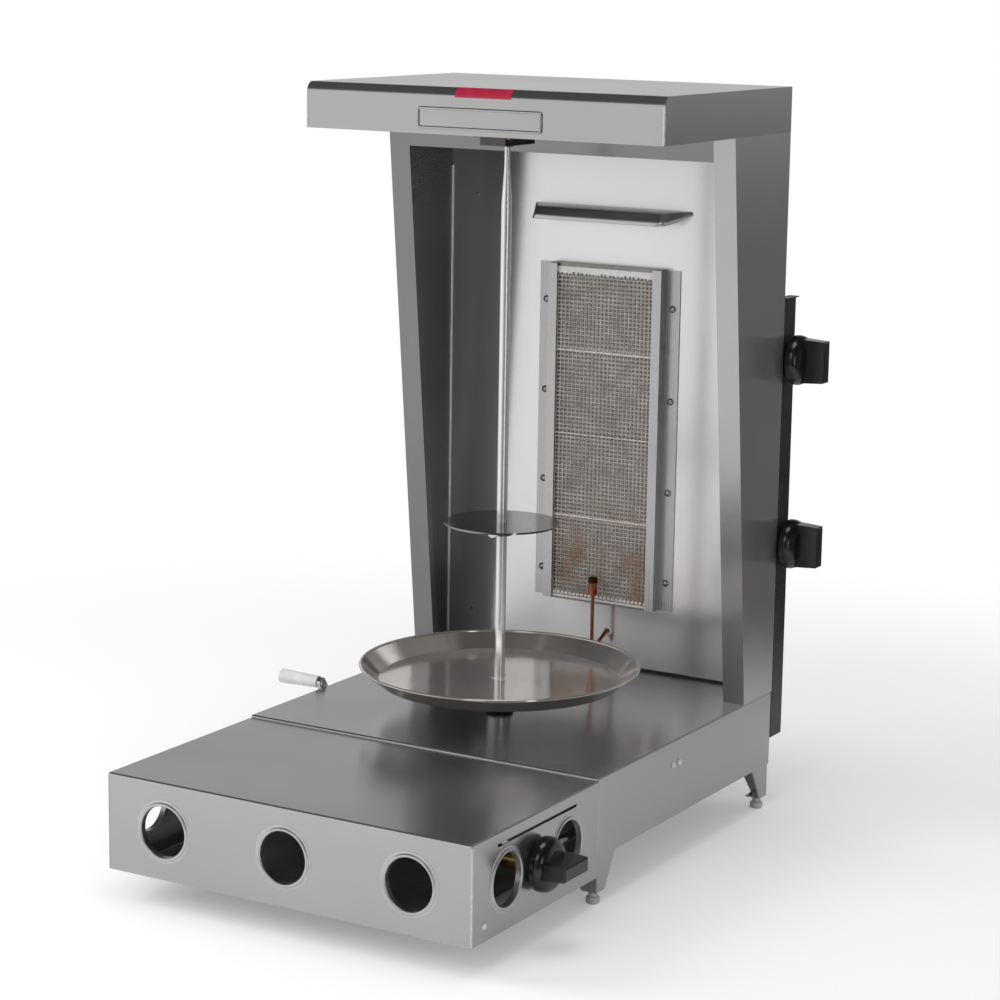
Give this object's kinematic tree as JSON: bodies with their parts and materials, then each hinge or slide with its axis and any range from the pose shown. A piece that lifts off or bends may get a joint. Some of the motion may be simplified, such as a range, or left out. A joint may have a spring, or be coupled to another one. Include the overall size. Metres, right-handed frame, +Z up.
{
  "type": "gas doner kebab grill",
  "caption": "Table-top gas kebab grill: a vertical spit with drip pan, turned by a hand crank through bevel gears before an infrared burner, with a hood and a vented warming griddle in front.",
  "frame": {"origin": "on the floor under the middle of the whole grill's plan, crank and knobs included", "axes": "+Z up, +X to the operator's right where the gas knobs are, +Y from the griddle's front to the back of the burner"},
  "size_m": [0.5224, 0.691, 0.792],
  "materials": {
    "stainless": "fine brushed stainless sheet",
    "bright_steel": "bright spun stainless",
    "rod_steel": "drawn stainless bar",
    "dark_steel": "black enamelled sheet",
    "hub_iron": "machined dark iron",
    "gear_steel": "machined steel",
    "bush_bronze": "sintered bronze",
    "brass": "turned brass",
    "copper": "drawn copper",
    "zinc_pipe": "zinc-plated pipe",
    "ceramic": "porous white ceramic",
    "fibre": "ceramic fibre",
    "mesh_wire": "heat-tinted wire",
    "knob_black": "satin black phenolic",
    "grip_white": "white moulded plastic",
    "foot_grey": "pale grey moulded plastic",
    "zinc_screw": "zinc-plated screws"
  },
  "bodies": {
    "grill": {"base_shell": "stainless", "leg_front_left": "stainless", "leg_front_right": "stainless", "leg_rear_left": "stainless", "leg_rear_right": "stainless", "griddle_casing": "stainless", "vent_rings": "stainless", "hood_shell": "stainless", "hood_floor": "stainless", "left_wing": "stainless", "right_wing": "stainless", "header_strip": "stainless", "back_panel": "stainless", "louvre_hood": "stainless", "left_rail": "stainless", "right_rail": "stainless", "cross_member": "stainless", "spit_bracket": "stainless", "upper_gas_box": "stainless", "lower_gas_box": "stainless", "foot_pads": "foot_grey", "burner_tray": "dark_steel", "griddle_burner": "dark_steel", "valve_bracket": "dark_steel", "gas_manifold": "dark_steel", "griddle_valve": "brass", "upper_valve": "brass", "lower_valve": "brass", "pipe_nuts": "brass", "gas_inlet": "brass", "upper_injector": "brass", "lower_injector": "brass", "griddle_pipe": "zinc_pipe", "spit_top_bush": "bush_bronze", "shaft_bushes": "bush_bronze", "burner_mesh": "mesh_wire", "upper_plaques": "ceramic", "lower_plaques": "ceramic", "plaque_gaskets": "fibre", "flame_sensor": "copper", "spindle_hub": "hub_iron", "panel_screws": "zinc_screw"},
    "crank": {"crank_shaft": "rod_steel", "crank_arm": "bright_steel", "grip_bolt": "rod_steel", "crank_pinion": "gear_steel"},
    "grip": {"crank_grip": "grip_white"},
    "turntable": {"spindle": "rod_steel", "spindle_gear": "gear_steel", "drip_pan": "bright_steel"},
    "spit": {"spit_rod": "rod_steel"},
    "disc": {"meat_disc": "bright_steel"},
    "clamp_screw": {"disc_screw": "bright_steel"},
    "upper_stem": {"upper_stem": "rod_steel"},
    "upper_knob": {"upper_knob": "knob_black"},
    "lower_stem": {"lower_stem": "rod_steel"},
    "lower_knob": {"lower_knob": "knob_black"},
    "griddle_stem": {"griddle_stem": "rod_steel"},
    "griddle_knob": {"griddle_knob": "knob_black"}
  },
  "joints": [
    {"name": "spit_turn", "type": "hinge", "parent": "grill", "child": "turntable", "pos_m": [0.00815, 0.056, 0.15], "axis": [0, 0, 1], "continuous": true},
    {"name": "crank_turn", "type": "hinge", "parent": "grill", "child": "crank", "pos_m": [-0.14185, 0.056, 0.1], "axis": [1, 0, 0], "continuous": true},
    {"name": "grip_spin", "type": "hinge", "parent": "crank", "child": "grip", "pos_m": [-0.23185, 0.0355, 0.13551], "axis": [1, 0, 0], "continuous": true},
    {"name": "spit_lift", "type": "slide", "parent": "turntable", "child": "spit", "axis": [0, 0, 1], "range_m": [0, 0.018]},
    {"name": "disc_slide", "type": "slide", "parent": "spit", "child": "disc", "axis": [0, 0, 1], "range_m": [-0.12, 0.3]},
    {"name": "clamp_turn", "type": "hinge", "parent": "disc", "child": "clamp_screw", "pos_m": [0.00815, 0.041, 0.33], "axis": [0, -1, 0], "range_deg": [0, 360]},
    {"name": "upper_valve_turn", "type": "hinge", "parent": "grill", "child": "upper_stem", "pos_m": [0.22315, 0.3095, 0.499], "axis": [1, 0, 0], "range_deg": [0, 180]},
    {"name": "upper_knob_push", "type": "slide", "parent": "upper_stem", "child": "upper_knob", "axis": [-1, 0, 0], "range_m": [0, 0.003], "stiffness_N_per_m": 800},
    {"name": "lower_valve_turn", "type": "hinge", "parent": "grill", "child": "lower_stem", "pos_m": [0.22315, 0.3095, 0.296], "axis": [1, 0, 0], "range_deg": [0, 180]},
    {"name": "lower_knob_push", "type": "slide", "parent": "lower_stem", "child": "lower_knob", "axis": [-1, 0, 0], "range_m": [0, 0.003], "stiffness_N_per_m": 800},
    {"name": "griddle_valve_turn", "type": "hinge", "parent": "grill", "child": "griddle_stem", "pos_m": [0.22315, -0.2245, 0.08], "axis": [1, 0, 0], "range_deg": [0, 180]},
    {"name": "griddle_knob_push", "type": "slide", "parent": "griddle_stem", "child": "griddle_knob", "axis": [-1, 0, 0], "range_m": [0, 0.003], "stiffness_N_per_m": 800}
  ],
  "couplings": [
    {"joint": "crank_turn", "follows": "spit_turn", "ratio": -1.5}
  ]
}
